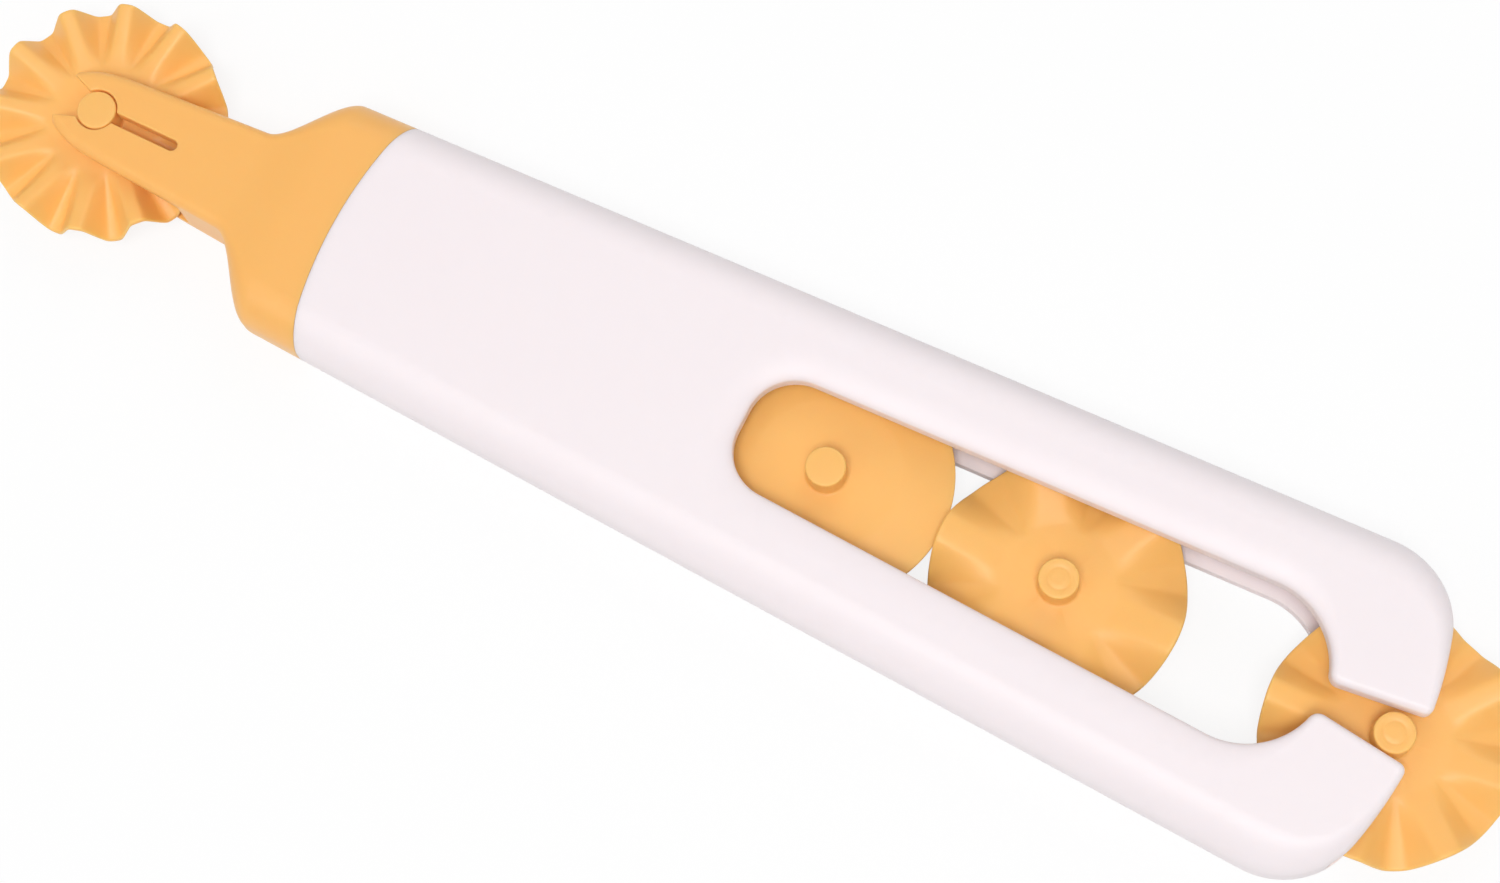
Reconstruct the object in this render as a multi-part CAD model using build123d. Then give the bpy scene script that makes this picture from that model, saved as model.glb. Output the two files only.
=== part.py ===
from build123d import *
import os
from math import asin, atan, cos, pi, radians, sin, sqrt, tan

# A pastry wheel: an orange fork head with a fluted wheel, in a white handle that stores three more wheels.
# X runs along the tool from the head axle to the mouth of the handle, Y across it and Z up, in millimetres.
# Every piece is drawn about the head axle, with the tool's middle plane at Z = 0, and moved at the end, so
# that the origin lies on the table under the middle of the tool.

# Wheels, each moulded in one with its two axle stubs
WHEEL_RADIUS = 16.0
AXLE_RADIUS = 2.6
AXLE_CHAMFER = 0.25
AXLE_ROOT = 0.4
HUB_THICKNESS = 1.8
RIM_THICKNESS = 0.9
CUTTING_EDGE = 0.5
BEVEL_START = 9.8
FLUTE_START = 7.0
FLUTE_DEPTH = 2.15
FLANK_SHARE = 0.55
FLUTE_CRISPNESS = 6
CREST_SPREAD = 0.8
FINE_FLUTES = 12
BROAD_WAVES = 5
MEDIUM_WAVES = 8
POINTS_PER_WAVE = 16
END_RING_RADIUS = 1.6
END_RING_WIDTH = 0.35
END_RING_DEPTH = 0.2

# How the wheels lie in the tool, and how far each is turned, in degrees
RIM_GAP = 0.35
FREE_RUN = 12.65
MOUTH_INSET = 3.1
STORED_SIDE = -0.8
FINE_TURN = 17.5
BROAD_TURN = 43.6
MEDIUM_TURN = 5.0

# Handle
HANDLE_LENGTH = 151.3
THICKNESS = 13.0
SIDE_FLAT = 2.0
SIDE_WALL = 2.5
SIDE_PLAY = 1.25
TAPER = 0.0406
END_BOW = 58.0
MOUTH_CORNER = 10.0
MOUTH_TURN = radians(58)
ARM_WIDTH = 11.6
SLOT_BACK = 12.0
SLOT_CORNER = 5.5
SLOT_ROUND = 2.6
HOOK_DEPTH = 12.7
HOOK_TIP = 1.1
HOOK_INNER = 1.5
HOOK_ROUND = 1.0
THROAT_GRIP = 1.3
THROAT_EASE = 1.7
TRACK_CLEARANCE = 0.95
TRACK_DRAFT = 0.005
INNER_CORNER = 1.0
SOCKET_WALL = 2.5
PARTITION = 2.5

# Head
PLATE_THICKNESS = 1.65
FLUTE_CLEARANCE = 0.45
CROTCH_CLEARANCE = 1.4
RUNNING_CLEARANCE = 0.2
AXLE_RECESS = 0.1
FORK_TIP = 5.2
FORK_NOSE = 9.2
FORK_NOSE_X = 2.0
FORK_WIDTH = 11.6
FORK_EDGE = 1.3
NECK_WIDTH = 14.4
NECK_RISE = 0.6
NECK_RUN = 6.0
SHOULDER_RUN = 9.4
COLLAR_RUN = 5.3
COLLAR_SPARE = 7.3
HEAD_SECTIONS = 24
NOTCH_GRIP = 1.3
NOTCH_FLARE = radians(20)
SLIT_WIDTH = 1.5
SLIT_END = 12.4
JOINT_LINE = 0.1
TANG_SHARE = 0.65
TANG_CLEARANCE = 0.1
TANG_WALL = 1.8
TANG_WEB = 2.0
TANG_BAYS = 3
TANG_LEAD = 0.6
BEAD_RADIUS = 0.8
BEAD_HEIGHT = 0.4
BEAD_LENGTH = 14.0

# Closeness at which an edge counts as lying in a plane
HAIR = 0.01

# Thicknesses that follow from the wheels
HALF_RIM = RIM_THICKNESS / 2
HALF_THICKNESS = THICKNESS / 2
EDGE_RADIUS = (THICKNESS - SIDE_FLAT) / 2
HALF_GAP = FLUTE_DEPTH + HALF_RIM + FLUTE_CLEARANCE
HALF_FORK = HALF_GAP + PLATE_THICKNESS
HALF_NECK = HALF_FORK + NECK_RISE
HALF_AXLE = HALF_FORK - AXLE_RECESS
TRACK_HALF = FLUTE_DEPTH + HALF_RIM + TRACK_CLEARANCE
TRACK_SIDE = WHEEL_RADIUS + SIDE_PLAY
SOCKET_HALF = HALF_THICKNESS - SOCKET_WALL
TANG_HALF = SOCKET_HALF - TANG_CLEARANCE

# Places along the tool
NECK_X = WHEEL_RADIUS + NECK_RUN
SHOULDER_X = NECK_X + SHOULDER_RUN
HANDLE_FRONT = SHOULDER_X + COLLAR_RUN
MOUTH_X = HANDLE_FRONT + HANDLE_LENGTH
MEDIUM_X = MOUTH_X - MOUTH_INSET
BROAD_X = MEDIUM_X - 2 * WHEEL_RADIUS - FREE_RUN
PLAIN_X = BROAD_X - 2 * WHEEL_RADIUS - RIM_GAP
SLOT_START = PLAIN_X - SLOT_BACK
SLOT_END = MOUTH_X - HOOK_DEPTH
TRACK_START = PLAIN_X - WHEEL_RADIUS - RIM_GAP
SOCKET_END = TRACK_START - PARTITION
TANG_END = HANDLE_FRONT + TANG_SHARE * (SOCKET_END - HANDLE_FRONT)
BEAD_X = TANG_END - TANG_WALL / 2
BEAD_Z = TANG_HALF + BEAD_HEIGHT - BEAD_RADIUS
SIDE_TILT = atan(TAPER)


def side_at(x):
    """Half-width of the handle at x: straight sides that spread towards the mouth and clear the wheels."""
    return TRACK_SIDE + SIDE_WALL + TAPER * (x - PLAIN_X)


def smooth_step(x, x_from, x_to):
    """Ramp from 0 to 1 with level ends."""
    t = min(max((x - x_from) / (x_to - x_from), 0), 1)
    return t * t * (3 - 2 * t)


def spread(start, stop, count):
    """Evenly spaced values from start up to, and without, stop."""
    return [start + (stop - start) * i / count for i in range(count)]


def upright(face, half_height):
    """Prism of a plan face, as far below the tool's middle plane as above it."""
    return extrude(Pos(0, 0, -half_height) * face, 2 * half_height)


def tapered_bar(x_from, x_to, near, far, half_height, radius):
    """Straight bar between two half-widths, with its long edges rounded."""
    plan = Polyline((x_from, -near), (x_to, -far), (x_to, far), (x_from, near), close=True)
    bar = upright(make_face(plan), half_height)
    long_edges = [edge for edge in bar.edges() if edge.bounding_box().size.X > HAIR]
    return fillet(long_edges, radius)


def rim_rounded(solid, in_reach, radius):
    """Solid with those edges of its top and bottom faces rounded whose boxes are in reach."""
    found = []
    for edge in solid.edges():
        box = edge.bounding_box()
        if abs(abs(box.center().Z) - HALF_THICKNESS) < HAIR and box.size.Z < HAIR and in_reach(box):
            found.append(edge)
    return fillet(found, radius)


def bow_arc(end_x, bulge):
    """Arc of a bowed end in plan, wider than the tool, which bulges at end_x towards +X or -X."""
    half_chord = 2 * side_at(MOUTH_X)
    chord_x = end_x - bulge * (END_BOW - sqrt(END_BOW**2 - half_chord**2))
    return ThreePointArc((chord_x, -half_chord), (end_x, 0), (chord_x, half_chord))


def between_bows(front_x):
    """Plan from a bowed front end to the bowed mouth end, wider than the tool."""
    front, mouth = bow_arc(front_x, -1), bow_arc(MOUTH_X, 1)
    return make_face([front, mouth, Line(front @ 0, mouth @ 0), Line(front @ 1, mouth @ 1)])


def mouth_corner_x():
    """Where the side, drawn on straight, meets the line that the round mouth corner ends along.

    The corner turns by MOUTH_TURN from the side and ends on the mouth's bow. Shifting the bow back by that
    turn gives a circle, which the side crosses where the corner starts.
    """
    normal = pi / 2 + SIDE_TILT
    reach = MOUTH_CORNER * (cos(normal - MOUTH_TURN) - cos(normal))
    inset = MOUTH_CORNER * (sin(normal) - sin(normal - MOUTH_TURN))
    centre, start = MOUTH_X - END_BOW - reach, side_at(0) - inset
    a, b, c = 1 + TAPER**2, TAPER * start - centre, centre**2 + start**2 - END_BOW**2
    corner_start = (-b + sqrt(b**2 - a * c)) / a
    return corner_start + MOUTH_CORNER * tan(MOUTH_TURN / 2) * cos(SIDE_TILT)


def blank_plan():
    """Plan of the handle before its ends are cut: straight sides, round corners and a nose past the mouth."""
    corner_x = mouth_corner_x()
    corner_y = side_at(corner_x)
    nose_x = corner_x + corner_y / tan(MOUTH_TURN - SIDE_TILT)
    lower = [(0, -side_at(0)), (corner_x, -corner_y), (nose_x, 0)]
    upper = [(corner_x, corner_y), (0, side_at(0))]
    plan = make_face(Polyline(*lower, *upper, close=True))
    corners = plan.vertices().filter_by_position(Axis.X, corner_x - HAIR, corner_x + HAIR)
    plan = fillet(corners, MOUTH_CORNER)
    return fillet(plan.vertices().sort_by(Axis.X)[-1:], corner_y)


def slot_plan():
    """Plan of the storage slot: round at both ends, its sides parallel to the handle's."""
    start = side_at(0) - ARM_WIDTH
    centre = (SLOT_END - start * cos(SIDE_TILT)) / (1 + TAPER * cos(SIDE_TILT))
    radius = SLOT_END - centre
    touch_x, touch_y = centre - radius * sin(SIDE_TILT), radius * cos(SIDE_TILT)
    start_y = side_at(SLOT_START) - ARM_WIDTH
    corners = [(SLOT_START, -start_y), (touch_x, -touch_y), (touch_x, touch_y), (SLOT_START, start_y)]
    body = make_face(Polyline(*corners, close=True))
    body = fillet(body.vertices().sort_by(Axis.X)[:2], SLOT_CORNER)
    return body + Pos(centre, 0) * Circle(radius)


def throat_plan():
    """Plan of the throat between the hooks: tighter than the axle inside, wider than it at the mouth."""
    flare = (THROAT_EASE + THROAT_GRIP) / HOOK_DEPTH / 2
    x_from, x_to = SLOT_END - HOOK_DEPTH / 2, MOUTH_X + HOOK_DEPTH / 2
    half_from, half_to = [AXLE_RADIUS - THROAT_GRIP / 2 + flare * (x - SLOT_END) for x in (x_from, x_to)]
    corners = [(x_from, -half_from), (x_to, -half_to), (x_to, half_to), (x_from, half_from)]
    return make_face(Polyline(*corners, close=True))


def hooked_end():
    """Slab with a bowed front, and a bowed mouth whose two rounded hooks stand over the throat and the slot."""
    opening = slot_plan() + throat_plan()
    inner = opening.vertices().filter_by_position(Axis.X, SLOT_END - HOOK_DEPTH / 2, SLOT_END + HAIR)
    opening = fillet(inner, HOOK_INNER)
    plan = between_bows(HANDLE_FRONT) - opening
    tips = [corner for corner in plan.vertices() if corner.X > MOUTH_X - HOOK_TIP]
    plan = fillet(tips, HOOK_TIP)
    return rim_rounded(upright(plan, HALF_THICKNESS), lambda box: box.min.X > SLOT_START - HAIR, HOOK_ROUND)


def slotted_plate():
    """Plate wider and longer than the tool, with the storage slot's well rounded rim."""
    plan = Pos(MOUTH_X / 2, 0) * Rectangle(2 * MOUTH_X, 4 * side_at(MOUTH_X)) - slot_plan()
    return rim_rounded(upright(plan, HALF_THICKNESS), lambda box: box.max.X < SLOT_END + HAIR, SLOT_ROUND)


def make_handle():
    """White handle: a flat bar with round sides, hollow for the tang in front and for the wheels behind."""
    blank = rim_rounded(upright(blank_plan(), HALF_THICKNESS), lambda box: box.max.X > HAIR, EDGE_RADIUS)
    body = blank & hooked_end() & slotted_plate()
    track_end = MOUTH_X + HOOK_DEPTH
    near, far = TRACK_SIDE, TRACK_SIDE + TRACK_DRAFT * (track_end - TRACK_START)
    body = body - tapered_bar(TRACK_START, track_end, near, far, TRACK_HALF, INNER_CORNER)
    near, far = side_at(0) - SIDE_WALL, side_at(SOCKET_END) - SIDE_WALL
    body = body - tapered_bar(0, SOCKET_END, near, far, SOCKET_HALF, INNER_CORNER)
    return body - beads(TANG_CLEARANCE)


def beads(clearance):
    """The two beads that snap the tang into the socket, or with a clearance the grooves that take them."""
    bead = Cylinder(BEAD_RADIUS + clearance, BEAD_LENGTH + 2 * clearance, rotation=(90, 0, 0))
    return Pos(BEAD_X, 0, BEAD_Z) * bead + Pos(BEAD_X, 0, -BEAD_Z) * bead


def head_section(x):
    """Section of the head at x: rounded tips, prongs that thicken to the neck, a shoulder to the collar."""
    along = min(max(x / NECK_X, 0), 1)
    nose = sqrt(1 - (min(x - FORK_NOSE_X, 0) / FORK_NOSE) ** 2)
    shoulder = smooth_step(x, NECK_X, SHOULDER_X)
    half_width = nose * (FORK_WIDTH + (NECK_WIDTH - FORK_WIDTH) * along) / 2
    half_width = half_width + (side_at(x) - NECK_WIDTH / 2) * shoulder
    half_height = HALF_FORK + NECK_RISE * along + (HALF_THICKNESS - HALF_NECK) * shoulder
    radius = FORK_EDGE + (EDGE_RADIUS - FORK_EDGE) * shoulder
    plane = Plane(origin=(x, 0, 0), x_dir=(0, 1, 0), z_dir=(1, 0, 0))
    return plane * RectangleRounded(2 * half_width, 2 * half_height, radius)


def notch_plan():
    """Plan of the keyhole notch in the fork plates: flared entry, round pocket and relief slit."""
    pocket = AXLE_RADIUS + RUNNING_CLEARANCE
    half_throat = AXLE_RADIUS - NOTCH_GRIP / 2
    throat_x, outside_x = -sqrt(pocket**2 - half_throat**2), -2 * FORK_TIP
    half_outside = half_throat + (throat_x - outside_x) * tan(NOTCH_FLARE)
    entry = [(throat_x, half_throat), (outside_x, half_outside)]
    entry += [(outside_x, -half_outside), (throat_x, -half_throat)]
    slit = SLIT_END - SLIT_WIDTH / 2
    notch = make_face(Polyline(*entry, close=True)) + Circle(pocket)
    notch = notch + Pos(slit / 2, 0) * Rectangle(slit, SLIT_WIDTH)
    return notch + Pos(slit, 0) * Circle(SLIT_WIDTH / 2)


def make_tang():
    """Ribbed tang that fills the socket: a web with walls, a spine and cross ribs on both faces."""
    inset = SIDE_WALL + TANG_CLEARANCE
    root = HANDLE_FRONT - TANG_WALL
    near, far = side_at(root) - inset, side_at(TANG_END) - inset
    tang = tapered_bar(root, TANG_END, near, far, TANG_HALF, INNER_CORNER)
    tang = chamfer(tang.faces().sort_by(Axis.X)[-1].edges(), TANG_LEAD)
    bays = spread(HANDLE_FRONT, TANG_END - TANG_WALL, TANG_BAYS)
    for x_from in bays:
        x_to = x_from + bays[1] - bays[0] - TANG_WALL
        near, far = [side_at(x) - inset - TANG_WALL for x in (x_from, x_to)]
        for side in (1, -1):
            spine = side * TANG_WALL / 2
            corners = [(x_from, spine), (x_to, spine), (x_to, side * far), (x_from, side * near)]
            pocket = make_face(Polyline(*corners, close=True))
            tang = tang - (upright(pocket, SOCKET_HALF) - upright(pocket, TANG_WEB / 2))
    return tang + beads(0)


def make_head():
    """Orange head: collar flush with the handle, neck, and a fork whose plates clip on the wheel's axle."""
    body = loft([head_section(x) for x in spread(-FORK_TIP, HANDLE_FRONT + COLLAR_SPARE, HEAD_SECTIONS)])
    body = body - upright(between_bows(HANDLE_FRONT - JOINT_LINE), THICKNESS)
    body = body - Cylinder(WHEEL_RADIUS + CROTCH_CLEARANCE, 2 * HALF_GAP)
    body = body - upright(notch_plan(), HALF_THICKNESS)
    return body + make_tang()


def flute_height(angle, count):
    """Height of the flutes at the rim: straight flanks between flat crests and valleys with rounded edges."""
    rise = asin(cos(count * angle)) / (pi / 2) / FLANK_SHARE
    return FLUTE_DEPTH * rise / (1 + abs(rise) ** FLUTE_CRISPNESS) ** (1 / FLUTE_CRISPNESS)


def closed_curve(points):
    """Smooth closed curve whose points are evenly spaced in its parameter, so that two such curves match."""
    count = len(points)
    return Edge.make_spline(points, periodic=True, parameters=[i / count for i in range(count + 1)])


def rim_curve(count, level):
    """Closed wavy curve round the rim, a given height above the middle of the wheel's thickness."""
    points = []
    for angle in spread(0, 2 * pi, count * POINTS_PER_WAVE):
        height = level + flute_height(angle, count)
        points.append((WHEEL_RADIUS * cos(angle), WHEEL_RADIUS * sin(angle), height))
    return closed_curve(points)


def hub_curve(count, level):
    """Circle where the flutes start, its points drawn apart under the crests, which so keep an even width."""
    points = []
    for angle in spread(0, 2 * pi, count * POINTS_PER_WAVE):
        angle = angle + CREST_SPREAD * sin(count * angle) / count
        points.append((FLUTE_START * cos(angle), FLUTE_START * sin(angle), level))
    return closed_curve(points)


def fluted_disc(count):
    """Disc with a flat hub, from which straight flutes grow out to a thin wavy rim."""
    faces, rims = [], []
    for side in (1, -1):
        hub = hub_curve(count, side * HUB_THICKNESS / 2)
        rim = rim_curve(count, side * HALF_RIM)
        faces += [make_face(hub).face(), Face.make_surface_from_curves(hub, rim)]
        rims.append(rim)
    faces.append(Face.make_surface_from_curves(*rims))
    return Part() + Solid(Shell(faces))


def plain_disc():
    """Disc with a flat hub and a long bevel down to a straight cutting edge."""
    half_hub, half_edge = HUB_THICKNESS / 2, CUTTING_EDGE / 2
    upper = [(0, half_hub), (BEVEL_START, half_hub), (WHEEL_RADIUS, half_edge)]
    lower = [(WHEEL_RADIUS, -half_edge), (BEVEL_START, -half_hub), (0, -half_hub)]
    return revolve(Plane.XZ * make_face(Polyline(*upper, *lower, close=True)), Axis.Z)


def make_wheel(disc, end_ring):
    """Wheel: a disc on its axle, some with a fine ring sunk in the axle's ends."""
    axle = Cylinder(AXLE_RADIUS, 2 * HALF_AXLE)
    axle = chamfer(axle.edges(), AXLE_CHAMFER)
    if end_ring:
        ring = Circle(END_RING_RADIUS) - Circle(END_RING_RADIUS - END_RING_WIDTH)
        axle = axle - (upright(ring, 2 * HALF_AXLE) - upright(ring, HALF_AXLE - END_RING_DEPTH))
    wheel = disc + axle
    roots = [edge for edge in wheel.edges().filter_by(GeomType.CIRCLE)
             if edge.radius < AXLE_RADIUS + HAIR and abs(edge.center().Z) < HUB_THICKNESS]
    return fillet(roots, AXLE_ROOT)


pieces = {
    "handle": make_handle(),
    "fork_head": make_head(),
    "fine_wheel": Rot(Z=FINE_TURN) * make_wheel(fluted_disc(FINE_FLUTES), False),
    "plain_wheel": Pos(PLAIN_X, STORED_SIDE) * make_wheel(plain_disc(), False),
    "broad_wheel": Pos(BROAD_X, STORED_SIDE) * Rot(Z=BROAD_TURN) * make_wheel(fluted_disc(BROAD_WAVES), True),
    "medium_wheel": Pos(MEDIUM_X, 0) * Rot(Z=MEDIUM_TURN) * make_wheel(fluted_disc(MEDIUM_WAVES), True),
}

os.makedirs("parts", exist_ok=True)
for name, piece in pieces.items():
    export_step(Pos(-MEDIUM_X / 2, 0, HALF_THICKNESS) * piece, "parts/" + name + ".step")
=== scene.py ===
from math import acos, asin, atan, atan2, cos, pi, radians, sin, sqrt, tan

import bpy
from mathutils import Matrix, Vector


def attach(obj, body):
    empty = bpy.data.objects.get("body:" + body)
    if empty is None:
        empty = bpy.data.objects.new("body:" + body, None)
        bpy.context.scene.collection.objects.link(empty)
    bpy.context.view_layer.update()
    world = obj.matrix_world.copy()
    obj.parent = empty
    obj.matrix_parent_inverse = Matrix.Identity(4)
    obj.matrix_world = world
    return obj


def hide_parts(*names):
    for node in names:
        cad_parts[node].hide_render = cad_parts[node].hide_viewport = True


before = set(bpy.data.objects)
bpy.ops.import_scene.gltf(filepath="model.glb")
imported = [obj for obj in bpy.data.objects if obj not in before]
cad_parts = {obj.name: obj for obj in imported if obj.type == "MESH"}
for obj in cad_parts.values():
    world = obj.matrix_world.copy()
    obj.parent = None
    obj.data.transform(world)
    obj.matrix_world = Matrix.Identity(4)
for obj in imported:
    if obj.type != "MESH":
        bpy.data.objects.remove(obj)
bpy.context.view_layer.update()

# Handle: the white moulding that is gripped, hollow in front for the head and behind for the spare wheels.
# Satin polypropylene, moulded in one, wider towards its mouth, with every edge that a hand meets rounded.
# All lengths are millimetres from the axle of the working wheel, on the tool's middle plane.
MM = 0.001
HALF_THICKNESS = 6.5
AXLE_TO_CENTRE = 92.45
TOOL_FRAME = Matrix.Scale(MM, 4) @ Matrix.Translation((-AXLE_TO_CENTRE, 0, HALF_THICKNESS))
SIDE_ROUND = 5.5
SIDE_AT_AXLE = 15.369
TAPER = 0.0406
SIDE_TILT = atan(TAPER)
END_BOW = 58.0
BLANK_START = 20.0
HANDLE_FRONT = 36.7
MOUTH_X = 188.0
MOUTH_CORNER = 11.0
HOOK_TIP = 1.1
HOOK_INNER = 1.5
HOOK_ROUND = 1.0
THROAT_INNER = 1.95
THROAT_SLOPE = 0.1181
SLOT_START = 96.0
SLOT_END = 175.3
SLOT_CORNER = 6.4
SLOT_CROWN = 4.0
SLOT_ROUND = 1.2
ARM_WIDTH = 11.6
TRACK_START = 91.55
TRACK_END = 210.0
TRACK_HALF = 3.55
TRACK_SIDE = 17.25
TRACK_DRAFT = 0.005
SOCKET_START = 10.0
SOCKET_END = 89.05
SOCKET_HALF = 4.0
SIDE_WALL = 2.5
INNER_CORNER = 1.0
JOINT_LINE = 0.04
FIT_CLEARANCE = 0.1
BEAD_X = 69.83
BEAD_HEIGHT = 3.5
BEAD_RADIUS = 0.8
HALF_BEAD = 7.0
ROUND_STEPS = 10
FEWEST_STEPS = 6
COARSE_STEP = 2.0
BOW_STEP = 1.0
CURVE_STEP = 0.4
FINE_STEP = 0.12
FLAT_FACE_WEIGHT = 80
HARD_EDGE = 40


def side_at(x):
    """Half-width of the handle at x."""
    return SIDE_AT_AXLE + TAPER * x


def smooth_step(t):
    """Ramp from 0 to 1 with level ends."""
    t = min(max(t, 0), 1)
    return t * t * (3 - 2 * t)


def arc(centre, radius, start, turn, step):
    """Points on an arc from a start angle through a turn, no further apart than step."""
    count = max(int(abs(turn) * radius / step), FEWEST_STEPS)
    angles = [start + turn * i / count for i in range(count + 1)]
    return [(centre[0] + radius * cos(a), centre[1] + radius * sin(a)) for a in angles]


def line(start, stop, step):
    """Points on a straight line, its ends left out."""
    count = max(int((Vector(stop) - Vector(start)).length / step), 1)
    return [tuple(Vector(start).lerp(Vector(stop), i / count)) for i in range(1, count)]


def corner_arc(before, corner, after, radius, step):
    """Arc that rounds the corner between two straight runs."""
    into = (Vector(corner) - Vector(before)).normalized()
    out = (Vector(after) - Vector(corner)).normalized()
    turn = out.angle_signed(into)
    start = Vector(corner) - into * radius * tan(abs(turn) / 2)
    from_centre = Vector((into.y, -into.x)) * (radius if turn > 0 else -radius)
    return arc(start - from_centre, radius, from_centre.angle_signed(Vector((1, 0))), turn, step)


def shell_of_rings(name, rings):
    """Closed mesh object through rings of equally many points, capped at both ends."""
    size = len(rings[0])
    points = [TOOL_FRAME @ Vector(point) for ring in rings for point in ring]
    faces = [list(range(size))[::-1], [size * (len(rings) - 1) + i for i in range(size)]]
    for level in range(len(rings) - 1):
        base = size * level
        for i in range(size):
            j = (i + 1) % size
            faces.append([base + i, base + j, base + size + j, base + size + i])
    mesh = bpy.data.meshes.new(name)
    mesh.from_pydata(points, [], faces)
    mesh.validate()
    piece = bpy.data.objects.new(name, mesh)
    bpy.context.collection.objects.link(piece)
    return piece


def cut(piece, cutters, operation="DIFFERENCE"):
    """Cuts closed shells from a piece, or joins them to it, and removes them."""
    for cutter in cutters:
        change = piece.modifiers.new(cutter.name, "BOOLEAN")
        change.object = cutter
        change.operation = operation
        change.solver = "EXACT"
    bpy.context.view_layer.update()
    done = bpy.data.meshes.new_from_object(piece.evaluated_get(bpy.context.evaluated_depsgraph_get()))
    piece.modifiers.clear()
    piece.data = done
    for cutter in cutters:
        bpy.data.objects.remove(cutter)


def smooth_skin(piece, angle):
    """Smooth shading that keeps the corners sharper than an angle and leaves flat faces flat."""
    piece.data.shade_smooth()
    piece.data.set_sharp_from_angle(angle=radians(angle))
    even = piece.modifiers.new("even_shading", "WEIGHTED_NORMAL")
    even.keep_sharp = True
    even.weight = FLAT_FACE_WEIGHT


def bar_shell(name, x_from, x_to, near, far, half_height):
    """Bar between two half-widths, with its long edges rounded."""
    rings = []
    for x, half in ((x_from, near), (x_to, far)):
        y, z = half - INNER_CORNER, half_height - INNER_CORNER
        ring = []
        for centre, start in (((y, z), 0), ((-y, z), pi / 2), ((-y, -z), pi), ((y, -z), 3 * pi / 2)):
            ring += [(x, *point) for point in arc(centre, INNER_CORNER, start, pi / 2, FINE_STEP)]
        rings.append(ring)
    return shell_of_rings(name, rings)


def bow_shell(name, front_x):
    """Block whose face at front_x bulges towards the head like the joint between head and handle."""
    half_chord, far_x, half_height = 40.0, 400.0, 20.0
    edge = asin(half_chord / END_BOW)
    outline = arc((front_x + END_BOW, 0), END_BOW, pi - edge, 2 * edge, BOW_STEP)
    outline += [(far_x, -half_chord), (far_x, half_chord)]
    return shell_of_rings(name, [[(x, y, z) for x, y in outline] for z in (-half_height, half_height)])


def bead_shells(clearance):
    """The two beads across the tang's end, or with a clearance the grooves that take them."""
    beads = []
    reach = HALF_BEAD + clearance
    for side in (1, -1):
        loop = arc((BEAD_X, side * BEAD_HEIGHT), BEAD_RADIUS + clearance, 0, -2 * pi, FINE_STEP)[:-1]
        beads.append(shell_of_rings("bead", [[(x, y, z) for x, z in loop] for y in (-reach, reach)]))
    return beads


def mouth_path():
    """Outline of the round mouth corner, and of the bow from there to the hook's tip.

    The corner's centre lies the corner's radius inside both the side and the bow.
    """
    bow_centre = MOUTH_X - END_BOW
    inset = SIDE_AT_AXLE - MOUTH_CORNER / cos(SIDE_TILT)
    a, b = 1 + TAPER**2, TAPER * inset - bow_centre
    c = bow_centre**2 + inset**2 - (END_BOW - MOUTH_CORNER) ** 2
    centre_x = (-b + sqrt(b**2 - a * c)) / a
    centre_y = inset + TAPER * centre_x
    side_angle, bow_angle = pi / 2 + SIDE_TILT, atan2(centre_y, centre_x - bow_centre)
    corner = arc((centre_x, centre_y), MOUTH_CORNER, side_angle, bow_angle - side_angle, CURVE_STEP)
    tip_angle = asin((THROAT_INNER + THROAT_SLOPE * (MOUTH_X - SLOT_END)) / END_BOW)
    return corner, arc((bow_centre, 0), END_BOW, bow_angle, tip_angle - bow_angle, CURVE_STEP)


def slot_path():
    """Outline of the hook's inner corner and of half the slot's round end.

    The corner's centre lies the corner's radius away from both the throat and the round end.
    """
    half_slot = side_at(0) - ARM_WIDTH
    round_x = (SLOT_END - half_slot * cos(SIDE_TILT)) / (1 + TAPER * cos(SIDE_TILT))
    radius = SLOT_END - round_x
    tilt = atan(THROAT_SLOPE)
    offset = THROAT_INNER - THROAT_SLOPE * SLOT_END + HOOK_INNER / cos(tilt)
    a, b = 1 + THROAT_SLOPE**2, THROAT_SLOPE * offset - round_x
    c = round_x**2 + offset**2 - (radius + HOOK_INNER) ** 2
    inner_x = (-b + sqrt(b**2 - a * c)) / a
    inner = Vector((inner_x, THROAT_SLOPE * inner_x + offset))
    to_slot = Vector((round_x, 0)) - inner
    inner_from, inner_to = tilt - pi / 2, -acos(to_slot.x / to_slot.length)
    slot_from, slot_to = acos(-to_slot.x / to_slot.length), pi / 2 + SIDE_TILT
    return (arc(inner, HOOK_INNER, inner_from, inner_to - inner_from, FINE_STEP),
            arc((round_x, 0), radius, slot_from, slot_to - slot_from, CURVE_STEP))


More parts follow.
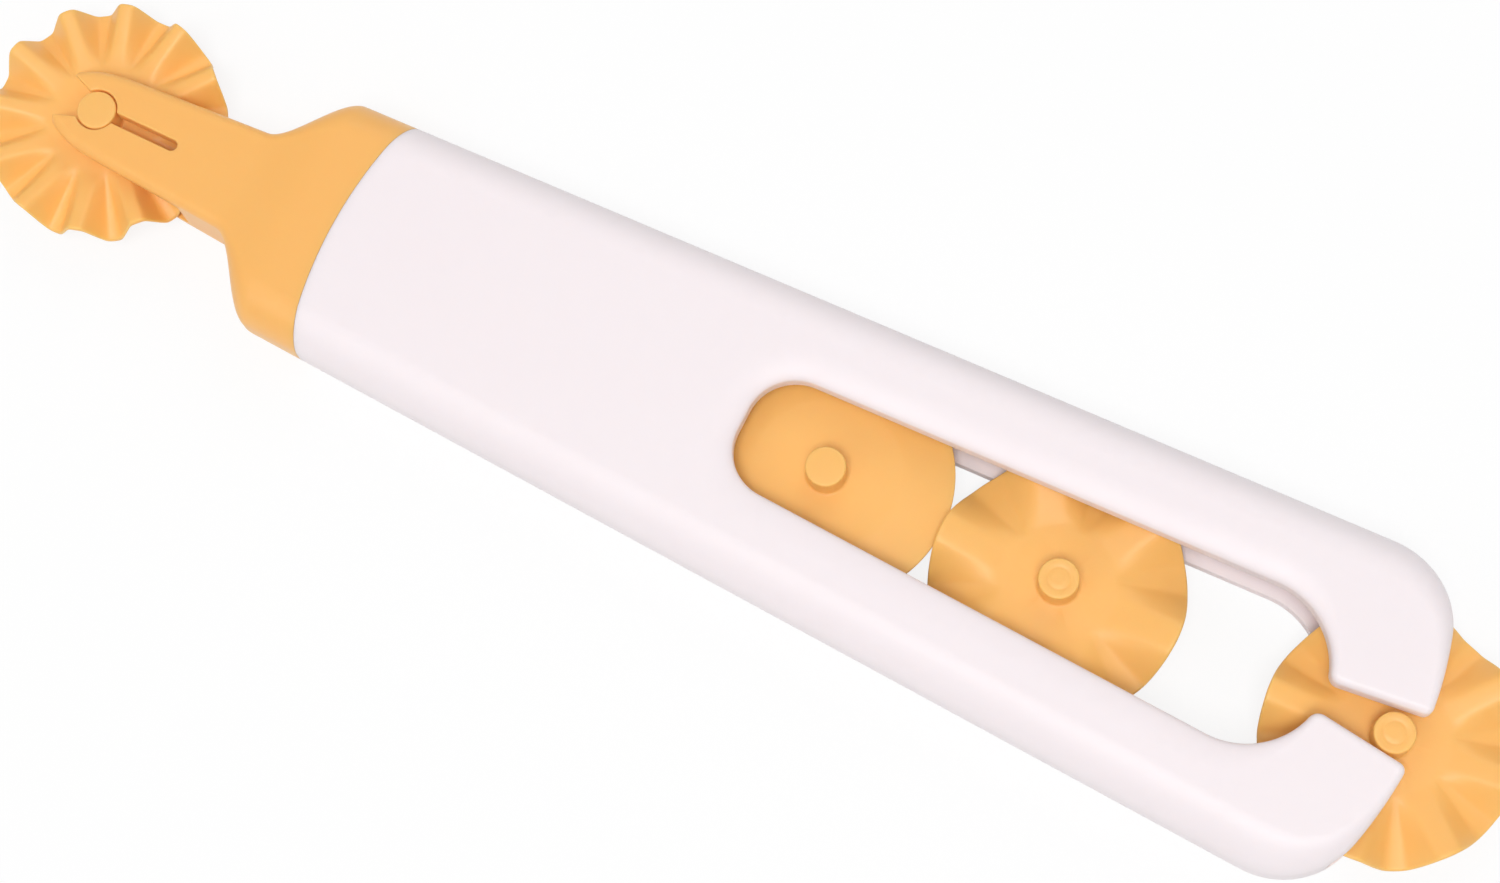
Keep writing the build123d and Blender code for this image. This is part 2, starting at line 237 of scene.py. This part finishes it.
def handle_outline():
    """Half the outline, from the front along the side, round mouth, hook and slot.

    Each point is (x, y, width of its edge's rounding, height of it).
    """
    corner, bow = mouth_path()
    inner, slot_end = slot_path()
    throat_start = (SLOT_END, THROAT_INNER)
    tip = corner_arc(bow[-2], bow[-1], throat_start, HOOK_TIP, FINE_STEP)
    slot_back = (SLOT_START, side_at(SLOT_START) - ARM_WIDTH)
    slot_corner = corner_arc(slot_end[-1], slot_back, (SLOT_START, 0), SLOT_CORNER, CURVE_STEP)
    bow = [p for p in bow[1:] if p[1] > tip[0][1] + CURVE_STEP / 2]

    side_start = (BLANK_START, side_at(BLANK_START))
    side = [side_start, *line(side_start, corner[0], COARSE_STEP)]
    path = [(*p, SIDE_ROUND, SIDE_ROUND) for p in side]
    mouth = [*corner, *bow]
    for i, p in enumerate(mouth):
        rounding = SIDE_ROUND + (HOOK_ROUND - SIDE_ROUND) * smooth_step(i / len(mouth))
        path.append((*p, rounding, rounding))
    hook = [*tip, *line(tip[-1], inner[0], CURVE_STEP), *inner]
    path += [(*p, HOOK_ROUND, HOOK_ROUND) for p in hook]
    for i, p in enumerate(slot_end[1:]):
        along = smooth_step(i / len(slot_end))
        path.append((*p, HOOK_ROUND + (SLOT_CROWN - HOOK_ROUND) * along,
                     HOOK_ROUND + (SLOT_ROUND - HOOK_ROUND) * along))
    slot = [*line(slot_end[-1], slot_corner[0], COARSE_STEP), *slot_corner]
    slot += line(slot_corner[-1], (SLOT_START, 0), CURVE_STEP)
    return path + [(*p, SLOT_CROWN, SLOT_ROUND) for p in slot]


def rounded_slab(name, outline, half_height):
    """Slab with a closed outline, its edges rounded by each point's own width and height."""
    count = len(outline)
    normals = []
    for i in range(count):
        before, after = outline[i - 1], outline[(i + 1) % count]
        along = Vector((after[0] - before[0], after[1] - before[1])).normalized()
        normals.append(Vector((-along.y, along.x)))
    normals[0], normals[-1] = normals[1], normals[-2]
    rings = []
    angles = [pi / 2 * i / ROUND_STEPS for i in range(ROUND_STEPS + 1)]
    for side, turns in ((-1, angles[::-1]), (1, angles)):
        for angle in turns:
            ring = []
            for (x, y, wide, deep), normal in zip(outline, normals):
                inward = normal * wide * (1 - cos(angle))
                ring.append((x + inward.x, y + inward.y, side * (half_height - deep * (1 - sin(angle)))))
            rings.append(ring)
    return shell_of_rings(name, rings)


half_outline = handle_outline()
mirrored = [(x, -y, *rounding) for x, y, *rounding in half_outline]
handle = rounded_slab("handle_moulding", mirrored + half_outline[::-1], HALF_THICKNESS)
cut(handle, [bow_shell("front_bow", HANDLE_FRONT)], "INTERSECT")
track = bar_shell("track", TRACK_START, TRACK_END, TRACK_SIDE,
                  TRACK_SIDE + TRACK_DRAFT * (TRACK_END - TRACK_START), TRACK_HALF)
socket = bar_shell("socket", SOCKET_START, SOCKET_END, side_at(SOCKET_START) - SIDE_WALL,
                   side_at(SOCKET_END) - SIDE_WALL, SOCKET_HALF)
cut(handle, [track, socket, *bead_shells(FIT_CLEARANCE)])
smooth_skin(handle, HARD_EDGE)


DRIFT_SCALE = 60
DRIFT_DETAIL = 3
GRAIN_DETAIL = 2
GRAIN_STRENGTH = 0.12
GRAIN_HEIGHT = 0.05
SHEEN_SWING = 0.05
PLASTIC_IOR = 1.49


def plastic_skin():
    """Node group for moulded plastic: soft colour drift, a fine grain and slight changes in sheen."""
    group = bpy.data.node_groups.new("moulded_plastic_skin", "ShaderNodeTree")
    for name, way, kind in (
        ("Colour", "INPUT", "NodeSocketColor"),
        ("Deep Colour", "INPUT", "NodeSocketColor"),
        ("Grain Size", "INPUT", "NodeSocketFloat"),
        ("Roughness", "INPUT", "NodeSocketFloat"),
        ("Colour", "OUTPUT", "NodeSocketColor"),
        ("Roughness", "OUTPUT", "NodeSocketFloat"),
        ("Height", "OUTPUT", "NodeSocketFloat"),
    ):
        group.interface.new_socket(name, in_out=way, socket_type=kind)
    nodes, links = group.nodes, group.links
    start, end = nodes.new("NodeGroupInput"), nodes.new("NodeGroupOutput")
    place = nodes.new("ShaderNodeTexCoord")

    drift = nodes.new("ShaderNodeTexNoise")
    drift.inputs["Scale"].default_value = DRIFT_SCALE
    drift.inputs["Detail"].default_value = DRIFT_DETAIL
    links.new(place.outputs["Object"], drift.inputs["Vector"])
    blend = nodes.new("ShaderNodeMix")
    blend.data_type = "RGBA"
    links.new(drift.outputs["Fac"], blend.inputs["Factor"])
    links.new(start.outputs["Colour"], blend.inputs["A"])
    links.new(start.outputs["Deep Colour"], blend.inputs["B"])
    links.new(blend.outputs["Result"], end.inputs["Colour"])

    fine = nodes.new("ShaderNodeMath")
    fine.operation = "DIVIDE"
    fine.inputs[0].default_value = 1 / MM
    links.new(start.outputs["Grain Size"], fine.inputs[1])
    grain = nodes.new("ShaderNodeTexNoise")
    grain.inputs["Detail"].default_value = GRAIN_DETAIL
    links.new(place.outputs["Object"], grain.inputs["Vector"])
    links.new(fine.outputs["Value"], grain.inputs["Scale"])
    links.new(grain.outputs["Fac"], end.inputs["Height"])

    sheen = nodes.new("ShaderNodeMapRange")
    sheen.inputs["To Min"].default_value = -SHEEN_SWING
    sheen.inputs["To Max"].default_value = SHEEN_SWING
    links.new(drift.outputs["Fac"], sheen.inputs["Value"])
    rough = nodes.new("ShaderNodeMath")
    links.new(start.outputs["Roughness"], rough.inputs[0])
    links.new(sheen.outputs["Result"], rough.inputs[1])
    links.new(rough.outputs["Value"], end.inputs["Roughness"])
    return group


SKIN = plastic_skin()


def plastic(name, colour, deep, grain_size, roughness, glow, glow_depth, glow_spread):
    """Moulded plastic of one colour, slightly translucent, with the shared skin."""
    material = bpy.data.materials.new(name)
    material.use_nodes = True
    nodes, links = material.node_tree.nodes, material.node_tree.links
    shader = nodes["Principled BSDF"]
    skin = nodes.new("ShaderNodeGroup")
    skin.node_tree = SKIN
    skin.inputs["Colour"].default_value = (*colour, 1)
    skin.inputs["Deep Colour"].default_value = (*deep, 1)
    skin.inputs["Grain Size"].default_value = grain_size
    skin.inputs["Roughness"].default_value = roughness
    links.new(skin.outputs["Colour"], shader.inputs["Base Color"])
    links.new(skin.outputs["Roughness"], shader.inputs["Roughness"])
    bump = nodes.new("ShaderNodeBump")
    bump.inputs["Strength"].default_value = GRAIN_STRENGTH
    bump.inputs["Distance"].default_value = GRAIN_HEIGHT * MM
    links.new(skin.outputs["Height"], bump.inputs["Height"])
    links.new(bump.outputs["Normal"], shader.inputs["Normal"])
    shader.inputs["IOR"].default_value = PLASTIC_IOR
    shader.inputs["Subsurface Weight"].default_value = glow
    shader.inputs["Subsurface Radius"].default_value = glow_spread
    shader.inputs["Subsurface Scale"].default_value = glow_depth
    return material


white = plastic("white_polypropylene", colour=(0.945, 0.857, 0.876), deep=(0.925, 0.835, 0.855),
                grain_size=0.35, roughness=0.48,
                glow=0.5, glow_depth=1.2 * MM, glow_spread=(1.0, 0.95, 0.9))
handle.data.materials.append(white)
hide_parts("handle")
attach(handle, "body")

# Head: the orange fork that carries the working wheel, with a collar flush with the handle.
# Moulded in one from polypropylene, with the ribbed tang that snaps into the handle's socket.
# The slit behind the notch lets the fork plates give when a wheel is clipped in.
FORK_TIP = 5.2
TIP_EASE = 0.5
TIP_ROWS = 8
FORK_NOSE = 9.2
FORK_NOSE_X = 2.0
FORK_HALF_WIDTH = 5.8
NECK_HALF_WIDTH = 7.2
NECK_X = 22.0
SHOULDER_X = 31.4
COLLAR_SPARE = 10.0
HALF_FORK = 4.7
NECK_RISE = 0.6
FORK_EDGE = 1.3
GAP_RADIUS = 17.4
HALF_GAP = 3.05
POCKET = 2.8
HALF_THROAT = 1.95
NOTCH_FLARE = tan(radians(20))
NOTCH_EASE = 0.35
NOTCH_ROUND = 0.22
NOTCH_ROWS = 4
NOTCH_SPARE = 1.0
HALF_SLIT = 0.75
SLIT_END = 12.4
TANG_END = 70.73
TANG_HALF = 3.9
TANG_WALL = 1.8
TANG_WEB = 1.0
TANG_BAYS = 3


def head_size(x):
    """Half-width, half-height and edge rounding of the head at x."""
    along = min(max(x / NECK_X, 0), 1)
    shoulder = smooth_step((x - NECK_X) / (SHOULDER_X - NECK_X))
    nose = sqrt(1 - (min(x - FORK_NOSE_X, 0) / FORK_NOSE) ** 2)
    half_width = nose * (FORK_HALF_WIDTH + (NECK_HALF_WIDTH - FORK_HALF_WIDTH) * along)
    half_width += (side_at(x) - NECK_HALF_WIDTH) * shoulder
    half_height = HALF_FORK + NECK_RISE * along
    half_height += (HALF_THICKNESS - HALF_FORK - NECK_RISE) * shoulder
    return half_width, half_height, FORK_EDGE + (SIDE_ROUND - FORK_EDGE) * shoulder


def head_ring(x, ease):
    """Section of the head at x, drawn in by ease at the tips."""
    half_width, half_height, radius = head_size(x)
    y, z = half_width - ease - radius, half_height - ease - radius
    ring = []
    for side, rise, start in ((1, 1, 0), (-1, 1, pi / 2), (-1, -1, pi), (1, -1, 3 * pi / 2)):
        for i in range(ROUND_STEPS + 1):
            angle = start + pi / 2 * i / ROUND_STEPS
            ring.append((x, side * y + radius * cos(angle), rise * z + radius * sin(angle)))
    return ring


def head_shell():
    """Tips, fork, neck, shoulder and collar as one lofted bar, longer than the collar."""
    rings = []
    for i in range(TIP_ROWS):
        angle = pi / 2 * i / TIP_ROWS
        rings.append(head_ring(-FORK_TIP + TIP_EASE * (1 - cos(angle)), TIP_EASE * (1 - sin(angle))))
    x = TIP_EASE - FORK_TIP
    while x < HANDLE_FRONT + COLLAR_SPARE:
        rings.append(head_ring(x, 0))
        x += CURVE_STEP
    return shell_of_rings("head_moulding", rings)


def notch_outline():
    """Closed outline of the keyhole notch: flared entry with rounded lips, pocket and slit."""
    throat_x = -sqrt(POCKET**2 - HALF_THROAT**2)
    outside = (-2 * FORK_TIP, HALF_THROAT + (2 * FORK_TIP + throat_x) * NOTCH_FLARE)
    throat_angle, slit_angle = pi - asin(HALF_THROAT / POCKET), asin(HALF_SLIT / POCKET)
    pocket = arc((0, 0), POCKET, throat_angle, slit_angle - throat_angle, FINE_STEP)
    end_x = SLIT_END - HALF_SLIT
    lip = corner_arc(outside, pocket[0], pocket[1], NOTCH_EASE, FINE_STEP / 2)
    slit_lip = corner_arc(pocket[-2], pocket[-1], (end_x, HALF_SLIT), NOTCH_EASE, FINE_STEP / 2)
    lips = [Vector(pocket[0]), Vector(pocket[-1])]
    pocket = [p for p in pocket if min((Vector(p) - end).length for end in lips) > NOTCH_EASE]
    half = [outside, *lip, *pocket, *slit_lip, *line(slit_lip[-1], (end_x, HALF_SLIT), CURVE_STEP)]
    half += arc((end_x, 0), HALF_SLIT, pi / 2, -pi / 2, FINE_STEP)
    return [(x, -y) for x, y in half[:-1]] + half[::-1]


def notch_shell():
    """Cutter for the notch through both plates, wider at the faces so that the edges come out eased."""
    loop = notch_outline()
    count = len(loop)
    levels = [(NOTCH_ROUND, NOTCH_SPARE)]
    for i in range(NOTCH_ROWS + 1):
        angle = pi / 2 * i / NOTCH_ROWS
        levels.append((NOTCH_ROUND * (1 - sin(angle)), -NOTCH_ROUND * (1 - cos(angle))))
    rings = []
    for side, rows in ((-1, levels), (1, levels[::-1])):
        for wide, rise in rows:
            ring = []
            for i, (x, y) in enumerate(loop):
                before, after = loop[i - 1], loop[(i + 1) % count]
                along = Vector((after[0] - before[0], after[1] - before[1])).normalized()
                place = Vector((x, y)) + wide * Vector((along.y, -along.x))
                ring.append((*place, side * (head_size(max(x, -FORK_TIP))[1] + rise)))
            rings.append(ring)
    return shell_of_rings("notch", rings)


def drum_shell(name, radius, half_height):
    """Upright drum about the working wheel's axle."""
    loop = arc((0, 0), radius, 0, 2 * pi, CURVE_STEP)[:-1]
    return shell_of_rings(name, [[(*p, z) for p in loop] for z in (-half_height, half_height)])


def tang_pockets():
    """Pockets that leave the tang a web with walls, a spine and cross ribs on both faces."""
    inset = SIDE_WALL + FIT_CLEARANCE + TANG_WALL
    pitch = (TANG_END - TANG_WALL - HANDLE_FRONT) / TANG_BAYS
    pockets = []
    for bay in range(TANG_BAYS):
        near, far = HANDLE_FRONT + bay * pitch, HANDLE_FRONT + (bay + 1) * pitch - TANG_WALL
        spine = TANG_WALL / 2
        upper = [(near, spine), (far, spine), (far, side_at(far) - inset), (near, side_at(near) - inset)]
        lower = [(x, -y) for x, y in upper[::-1]]
        for loop in (upper, lower):
            for low, high in ((TANG_WEB, SOCKET_HALF), (-SOCKET_HALF, -TANG_WEB)):
                pockets.append(shell_of_rings("pocket", [[(*p, z) for p in loop] for z in (low, high)]))
    return pockets


tang_root, tang_inset = HANDLE_FRONT - TANG_WALL, SIDE_WALL + FIT_CLEARANCE
tang = bar_shell("tang", tang_root, TANG_END, side_at(tang_root) - tang_inset,
                 side_at(TANG_END) - tang_inset, TANG_HALF)
cut(tang, tang_pockets())
cut(tang, bead_shells(0), "UNION")
head = head_shell()
cut(head, [bow_shell("collar_end", HANDLE_FRONT - JOINT_LINE),
           drum_shell("wheel_gap", GAP_RADIUS, HALF_GAP), notch_shell()])
cut(head, [tang], "UNION")
smooth_skin(head, HARD_EDGE)
orange = plastic("orange_polypropylene", colour=(1.0, 0.518, 0.152), deep=(0.990, 0.500, 0.140),
                 grain_size=0.3, roughness=0.36,
                 glow=0.4, glow_depth=1.2 * MM, glow_spread=(1.0, 0.9, 0.8))
head.data.materials.append(orange)
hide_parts("fork_head")
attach(head, "body")

# Wheels: four thin polypropylene discs, each moulded in one with its axle stubs, which clip into the fork.
# One has a plain bevelled edge. Three are fluted: flat crests and straight flanks grow from a flat hub.
# Two spares lie in the slot, a little wider than the wheel on the fork and the one in the mouth.
WHEEL_RADIUS = 16.0
SPARE_RADIUS = 16.3
RIM_STEPS = 384
AXLE_CENTRE = 0.6
AXLE_RADIUS = 2.6
HALF_AXLE = 4.6
AXLE_EASE = 0.25
AXLE_ROOT = 0.4
HALF_HUB = 0.9
HALF_RIM = 0.45
RIM_EASE = 0.3
FLUTE_START = 7.0
FLUTE_EASE = 0.12
FLUTE_DEPTH = 2.15
FLANK_SHARE = 0.55
FLUTE_CRISPNESS = 6
CREST_SPREAD = 0.8
FLUTE_ROWS = 20
BEVEL_START = 9.8
BEVEL_EASE = 0.3
HALF_EDGE = 0.25
EDGE_EASE = 0.12
RING_INSIDE = 1.25
RING_OUTSIDE = 1.6
RING_DEPTH = 0.06
RING_EASE = 0.07
QUARTER_STEPS = 5
WHEEL_HARD_EDGE = 50
PLAIN_X = 107.9
BROAD_X = 140.25
MEDIUM_X = 184.9
SPARE_Y = -0.8


def quarter(centre_r, centre_z, radius, start, stop, share):
    """Rounded corner of a wheel's section."""
    angles = [radians(start + (stop - start) * i / QUARTER_STEPS) for i in range(QUARTER_STEPS + 1)]
    return [(centre_r + radius * cos(a), centre_z + radius * sin(a), share) for a in angles]


def wheel_section(rim_radius, waves, end_ring):
    """Upper half of a wheel's section from the axle's end to the rim.

    Each point is (radius, height, share of the waves).
    """
    section = [(AXLE_CENTRE, HALF_AXLE, 0)]
    if end_ring:
        low = HALF_AXLE - RING_DEPTH
        section += [(RING_INSIDE - RING_EASE, HALF_AXLE, 0), (RING_INSIDE + RING_EASE, low, 0),
                    (RING_OUTSIDE - RING_EASE, low, 0), (RING_OUTSIDE + RING_EASE, HALF_AXLE, 0)]
    section += quarter(AXLE_RADIUS - AXLE_EASE, HALF_AXLE - AXLE_EASE, AXLE_EASE, 90, 0, 0)
    section += quarter(AXLE_RADIUS + AXLE_ROOT, HALF_HUB + AXLE_ROOT, AXLE_ROOT, 180, 270, 0)
    if not waves:
        slope = (HALF_HUB - HALF_EDGE) / (rim_radius - BEVEL_START)
        section += [(BEVEL_START - BEVEL_EASE, HALF_HUB, 0),
                    (BEVEL_START + BEVEL_EASE, HALF_HUB - slope * BEVEL_EASE, 0)]
        return section + quarter(rim_radius - EDGE_EASE, HALF_EDGE - EDGE_EASE, EDGE_EASE, 90, 0, 0)
    for i in range(FLUTE_ROWS):
        along = i / FLUTE_ROWS
        radius = FLUTE_START + along * (rim_radius - RIM_EASE - FLUTE_START)
        share = along**2 / (2 * FLUTE_EASE) if along < FLUTE_EASE else along - FLUTE_EASE / 2
        section.append((radius, HALF_HUB + (HALF_RIM - HALF_HUB) * along, share / (1 - FLUTE_EASE / 2)))
    return section + quarter(rim_radius - RIM_EASE, HALF_RIM - RIM_EASE, RIM_EASE, 90, 0, 1)


def flute_height(phase):
    """Height of the flutes at the rim: straight flanks between flat, round-edged crests and valleys."""
    rise = asin(cos(phase)) / (pi / 2) / FLANK_SHARE
    return FLUTE_DEPTH * rise / (1 + abs(rise) ** FLUTE_CRISPNESS) ** (1 / FLUTE_CRISPNESS)


def flute_place(radius, angle, rim_radius, waves):
    """Place in plan on a flute's straight line from hub to rim.

    The lines stand apart under the crests at the hub.
    """
    rim = Vector((cos(angle), sin(angle)))
    root = AXLE_RADIUS + AXLE_ROOT
    if not waves or radius < root:
        return radius * rim
    angle += CREST_SPREAD * sin(waves * angle) / waves
    hub = Vector((cos(angle), sin(angle)))
    if radius < FLUTE_START:
        return radius * rim.lerp(hub, (radius - root) / (FLUTE_START - root)).normalized()
    along = (radius - FLUTE_START) / (rim_radius - FLUTE_START)
    return (FLUTE_START * hub).lerp(rim_radius * rim, along)


def wheel_shell(name, centre, turn, rim_radius, waves, end_ring):
    """Wheel about an upright axle, turned so many degrees."""
    upper = wheel_section(rim_radius, waves, end_ring)
    lower = [(radius, -height, share) for radius, height, share in upper]
    steps = waves * round(RIM_STEPS / waves) if waves else RIM_STEPS
    turned = Matrix.Rotation(radians(turn), 2)
    rings = []
    for radius, height, share in lower + upper[::-1]:
        ring = []
        for i in range(steps):
            angle = 2 * pi * i / steps
            place = Vector(centre) + turned @ flute_place(radius, angle, rim_radius, waves)
            ring.append((*place, height + share * flute_height(waves * angle)))
        rings.append(ring)
    return shell_of_rings(name, rings)


# The wheels' orange is the head's orange painted a little lighter. This is painted light, so that the
# wheels down in the slot render as bright as the head.
wheel_orange_painted_lighter = plastic("wheel_polypropylene_painted_lighter", colour=(1.0, 0.542, 0.160), deep=(0.990, 0.522, 0.148),
                       grain_size=0.3, roughness=0.46,
                       glow=0.5, glow_depth=1.2 * MM, glow_spread=(1.0, 0.9, 0.8))
for body, centre, turn, rim_radius, waves, end_ring in (
    ("fine_wheel", (0, 0), 17.5, WHEEL_RADIUS, 12, False),
    ("plain_wheel", (PLAIN_X, SPARE_Y), 0, SPARE_RADIUS, 0, False),
    ("broad_wheel", (BROAD_X, SPARE_Y), 0, SPARE_RADIUS, 6, True),
    ("medium_wheel", (MEDIUM_X, 0), 5.0, WHEEL_RADIUS, 8, True),
):
    wheel = wheel_shell(body + "_moulding", centre, turn, rim_radius, waves, end_ring)
    smooth_skin(wheel, WHEEL_HARD_EDGE)
    wheel.data.materials.append(wheel_orange_painted_lighter)
    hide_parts(body)
    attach(wheel, body)

# Table and light: a plain sheet of white paper under soft light from the front and a little from behind.
# Most of the white that is seen is the paper's own glow, which keeps the tool's shadow faint.
# Lengths here, and the camera's place, are metres.
HALF_FLOOR = 4.0
PAPER_WHITE = 0.93
PAPER_ROUGHNESS = 0.9
PAPER_GLOW = 0.85
FILL_LIGHT = 0.36
floor_mesh = bpy.data.meshes.new("table")
corners = [(x * HALF_FLOOR, y * HALF_FLOOR, 0) for x, y in ((-1, -1), (1, -1), (1, 1), (-1, 1))]
floor_mesh.from_pydata(corners, [], [(0, 1, 2, 3)])
table = bpy.data.objects.new("table", floor_mesh)
bpy.context.collection.objects.link(table)
paper = bpy.data.materials.new("white_paper")
paper.use_nodes = True
nodes, links = paper.node_tree.nodes, paper.node_tree.links
shader = nodes["Principled BSDF"]
shader.inputs["Base Color"].default_value = (PAPER_WHITE, PAPER_WHITE, PAPER_WHITE, 1)
shader.inputs["Roughness"].default_value = PAPER_ROUGHNESS
glow = nodes.new("ShaderNodeEmission")
glow.inputs["Color"].default_value = (1, 1, 1, 1)
glow.inputs["Strength"].default_value = 1.0
ray = nodes.new("ShaderNodeLightPath")
seen = ray.outputs["Is Camera Ray"]
for other in ("Is Glossy Ray", "Is Transmission Ray"):
    either = nodes.new("ShaderNodeMath")
    either.operation = "MAXIMUM"
    links.new(seen, either.inputs[0])
    links.new(ray.outputs[other], either.inputs[1])
    seen = either.outputs["Value"]
share = nodes.new("ShaderNodeMath")
share.operation = "MULTIPLY"
share.inputs[1].default_value = PAPER_GLOW
links.new(seen, share.inputs[0])
mix = nodes.new("ShaderNodeMixShader")
links.new(share.outputs["Value"], mix.inputs["Fac"])
links.new(shader.outputs["BSDF"], mix.inputs[1])
links.new(glow.outputs["Emission"], mix.inputs[2])
links.new(mix.outputs["Shader"], nodes["Material Output"].inputs["Surface"])
floor_mesh.materials.append(paper)

world = bpy.data.worlds.new("studio")
bpy.context.scene.world = world
world.use_nodes = True
sky = world.node_tree.nodes["Background"]
sky.inputs["Color"].default_value = (1, 1, 1, 1)
sky.inputs["Strength"].default_value = FILL_LIGHT


def soft_box(name, place, side, power):
    """Square soft box that faces the tool."""
    lamp = bpy.data.lights.new(name, "AREA")
    lamp.shape = "SQUARE"
    lamp.size = side
    lamp.energy = power
    box = bpy.data.objects.new(name, lamp)
    box.location = place
    box.rotation_mode = "QUATERNION"
    box.rotation_quaternion = (-Vector(place)).to_track_quat("-Z", "Y")
    bpy.context.collection.objects.link(box)


soft_box("main_box", place=(0.25, -0.58, 1.90), side=0.8, power=22.4)
soft_box("front_box", place=(-0.25, -0.6, 0.62), side=0.4, power=0.75)
soft_box("back_box", place=(-0.05, 0.65, 0.6), side=0.5, power=1.2)

# Camera: above the tool and tilted back, with the tool across the frame from upper left to lower right.
# Its place, turn and lens were fitted to the round wheels, the axle ends and the handle's outline.
LENS = 72.48
SENSOR = 36.0
CAMERA_PLACE = (0.069557, -0.077471, 0.378450)
CAMERA_RIGHT = Vector((0.888403, 0.454897, -0.061711))
CAMERA_UP = Vector((-0.427034, 0.868249, 0.252560))
CAMERA_BACK = Vector((0.168469, -0.198022, 0.965611))
camera_data = bpy.data.cameras.new("camera")
camera_data.lens = LENS
camera_data.sensor_width = SENSOR
camera = bpy.data.objects.new("camera", camera_data)
camera.matrix_world = (Matrix.Translation(CAMERA_PLACE)
                       @ Matrix((CAMERA_RIGHT, CAMERA_UP, CAMERA_BACK)).transposed().to_4x4())
bpy.context.collection.objects.link(camera)
bpy.context.scene.camera = camera
bpy.context.scene.view_settings.view_transform = "Standard"
